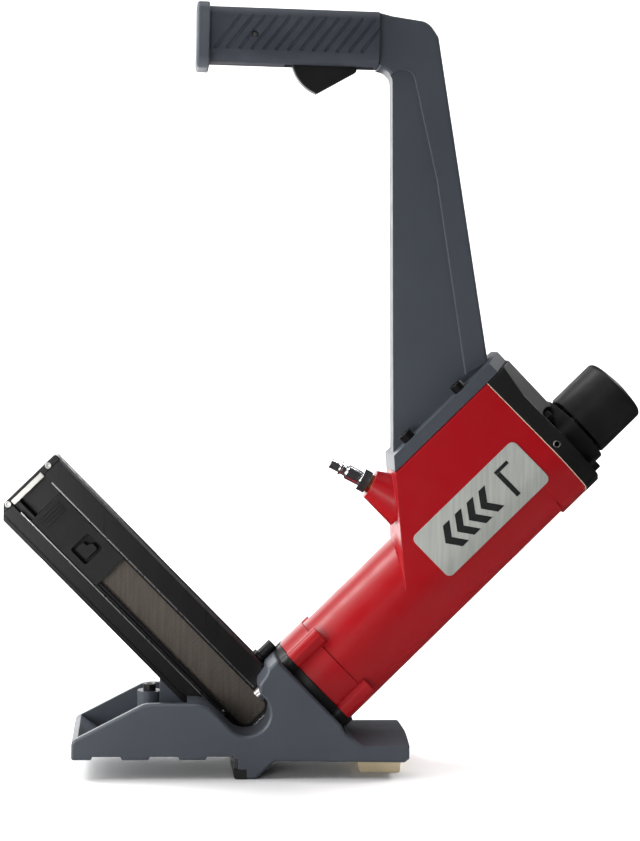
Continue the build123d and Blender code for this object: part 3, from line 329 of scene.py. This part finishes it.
def housing_fillet():
    """Cast blend between the cylinder and the end face of the deep upper part."""
    rows = []
    steps, arcs = 48, 12
    proud, buried = 0.04, (2.0, -0.6)     # how far the skin stands out, and how deep its corner lies
    for i in range(steps + 1):
        y = FILLET_REACH * math.sin(math.pi * (i / steps - 0.5))
        crest = math.sqrt(HOUSING_R ** 2 - y ** 2)
        radius = FILLET_R * math.sqrt(max(1 - (y / FILLET_FADE) ** 2, 0.003))
        v0 = crest + radius
        u0 = (END_C - radius - END_NV * v0) / END_NU
        start, end = -math.pi / 2, math.atan2(END_NV, END_NU)
        row = []
        for k in range(arcs + 1):
            turn = start + (end - start) * k / arcs
            row.append(at(u0 + (radius + proud) * math.cos(turn), v0 + (radius + proud) * math.sin(turn), y))
        corner_u = (END_C - END_NV * crest) / END_NU
        row.append(at(corner_u + buried[0], crest + buried[1], y))
        rows.append(row)
    verts, faces = skin(rows)
    piece("housing_fillet", MATERIALS["red_paint"], verts, faces, smooth=True)


def on_flank(u, v, side, lift):
    """Point above the housing's flank, on the -Y or the +Y side."""
    return at(u, v, side * (side_y(v) + lift))


def printed(name, outline, side):
    """Thin flat shape that lies on the label; the outline is a convex loop of (u, v)."""
    base = [on_flank(u, v, side, PRINT_LOW) for u, v in outline]
    top = [on_flank(u, v, side, PRINT_HIGH) for u, v in outline]
    verts, faces = skin([base, top])
    piece(name, MATERIALS["ink"], verts, faces)


def leaning(u, ends_v, width, lean=0, steps=6):
    """Outline of a bar between two v that leans along u, in short steps so that it follows the flank."""
    v0, v1 = ends_v
    left = [(u + lean * k / steps, v0 + (v1 - v0) * k / steps) for k in range(steps + 1)]
    return left + [(a + width, b) for a, b in left[::-1]]


def label_print():
    """Plain printed pattern: arrowheads towards the nose and a cleat seen from its side."""
    for side, tag in ((-1, "near"), (1, "far")):
        for i in range(ARROWS):
            u = ARROW_U + ARROW_PITCH * i
            for half, end_v in (("low", ARROW_V - ARROW_REACH), ("high", ARROW_V + ARROW_REACH)):
                bar = leaning(u, (ARROW_V, end_v), ARROW_WIDTH, ARROW_LEAN)
                printed(f"label_arrow_{half}_{tag}_{i}", bar, side)
        printed(f"label_cleat_{tag}", leaning(CLEAT_U, CLEAT_V, CLEAT_WIDTH), side)
        printed(f"label_cleat_head_{tag}", leaning(CLEAT_U, CLEAT_HEAD_V, CLEAT_HEAD_WIDTH), side)


def ring(name, slot, centre, axis, inner, outer, height):
    """Turned ring with rounded shoulders; inner and outer radius and half height are in millimetres."""
    axis = axis.normalized()
    across = axis.orthogonal().normalized()
    other = axis.cross(across)
    soft = min(height, outer - inner) * 0.3
    profile = [
        (inner, -height), (inner, height - soft), (inner + soft, height), (outer - soft, height),
        (outer, height - soft), (outer, -height),
    ]
    rows = []
    count = 32
    for k in range(count):
        turn = 2 * math.pi * k / count
        out = across * math.cos(turn) + other * math.sin(turn)
        rows.append([centre + (out * r + axis * h) * MM for r, h in profile])
    verts = [v for row in rows for v in row]
    n = len(profile)
    faces = [
        (k * n + i, k * n + (i + 1) % n, ((k + 1) % count) * n + (i + 1) % n, ((k + 1) % count) * n + i)
        for k in range(count) for i in range(n)
    ]
    piece(name, MATERIALS[slot], verts, faces)


housing_fillet()
label_print()
ring("vent_eyelet_near", "zinc_steel", at(VENT_U, VENT_V, VENT_Y), Vector((0, -1, 0)), 2.1, 2.9, 0.5)


# ---- studio -----------------------------------------------------------------------------
def studio_floor():
    """Pale floor that curves up into a backdrop."""
    mesh = bpy.data.meshes.new("studio_floor")
    bm = bmesh.new()
    half, front, back, height, bend, steps = 6.0, -4.0, 2.6, 4.5, 1.2, 24
    rows = [(front, 0.0), (back - bend, 0.0)]
    for i in range(1, steps + 1):
        turn = math.pi / 2 * i / steps
        rows.append((back - bend + bend * math.sin(turn), bend - bend * math.cos(turn)))
    rows.append((back, height))
    pairs = [[bm.verts.new((x, y, z)) for x in (-half, half)] for y, z in rows]
    for a, b in zip(pairs, pairs[1:]):
        bm.faces.new((a[0], a[1], b[1], b[0]))
    bm.to_mesh(mesh)
    bm.free()
    for face in mesh.polygons:
        face.use_smooth = True
    floor = bpy.data.objects.new("studio_floor", mesh)
    floor.location.z = CAD_LOW.z - 0.0001
    bpy.context.scene.collection.objects.link(floor)
    mesh.materials.append(Surface("studio_paper", (0.93, 0.93, 0.93), 0.85).material)
    floor.visible_glossy = False


def softbox(name, place, target, size, power):
    """Rectangular light of a given width and height, in metres, turned to the target."""
    light = bpy.data.lights.new(name, "AREA")
    light.shape = "RECTANGLE"
    light.size, light.size_y = size
    light.energy = power
    lamp = bpy.data.objects.new(name, light)
    lamp.location = place
    lamp.rotation_euler = (Vector(target) - Vector(place)).to_track_quat("-Z", "Y").to_euler()
    lamp.visible_camera = False
    bpy.context.scene.collection.objects.link(lamp)


def studio():
    """Bright paper behind, one large soft light from the left, a little light from above and in front."""
    studio_floor()
    centre = (CAD_LOW + CAD_HIGH) / 2
    softbox("key_left", (-1.5, -0.22, 0.62), centre, (0.8, 1.2), 24)
    softbox("rim_left", (-0.38, 1.35, 0.42), centre, (0.7, 1.3), 9)
    softbox("top", (-0.25, -0.15, 1.8), centre, (0.9, 0.7), 8)
    softbox("low_front", (-0.55, -0.8, 0.10), (-0.14, 0, 0.06), (0.5, 0.3), 3.6)
    softbox("front", (-0.6, -2.2, 1.3), centre, (0.8, 0.8), 3)
    for side in (-1, 1):
        softbox(f"backdrop_{side}", (side * 2.2, 0.9, 2.6), (side * 0.3, 2.6, 0.9), (1.6, 0.8), 110)
    world = bpy.data.worlds.new("studio_world")
    world.use_nodes = True
    world.node_tree.nodes["Background"].inputs["Color"].default_value = (1, 1, 1, 1)
    world.node_tree.nodes["Background"].inputs["Strength"].default_value = 0.035
    bpy.context.scene.world = world
    bpy.context.scene.view_settings.view_transform = "Standard"


def camera():
    """Camera at the reference view: left of square, slightly above, rolled a little."""
    azimuth, elevation, roll = math.radians(-5.5), math.radians(2.46), math.radians(1.1)
    distance, focal_px, long_side_px, sensor = 1.5, 1875.0, 841.0, 36.0
    aim = Vector((-0.0051, 0, 0.27786))
    back = Vector((
        math.sin(azimuth) * math.cos(elevation),
        -math.cos(azimuth) * math.cos(elevation),
        math.sin(elevation),
    ))
    level = back.cross(Vector((0, 0, 1))).normalized() * -1
    upright = back.cross(level)
    right = level * math.cos(roll) + upright * math.sin(roll)
    up = upright * math.cos(roll) - level * math.sin(roll)
    data = bpy.data.cameras.new("camera")
    data.sensor_width = sensor
    data.lens = focal_px / long_side_px * sensor
    data.clip_start, data.clip_end = 0.05, 50
    made = bpy.data.objects.new("camera", data)
    made.matrix_world = Matrix((
        (right.x, up.x, back.x, (aim + back * distance).x),
        (right.y, up.y, back.y, (aim + back * distance).y),
        (right.z, up.z, back.z, (aim + back * distance).z),
        (0, 0, 0, 1),
    ))
    bpy.context.scene.collection.objects.link(made)
    bpy.context.scene.camera = made


studio()
camera()

bpy.context.view_layer.update()
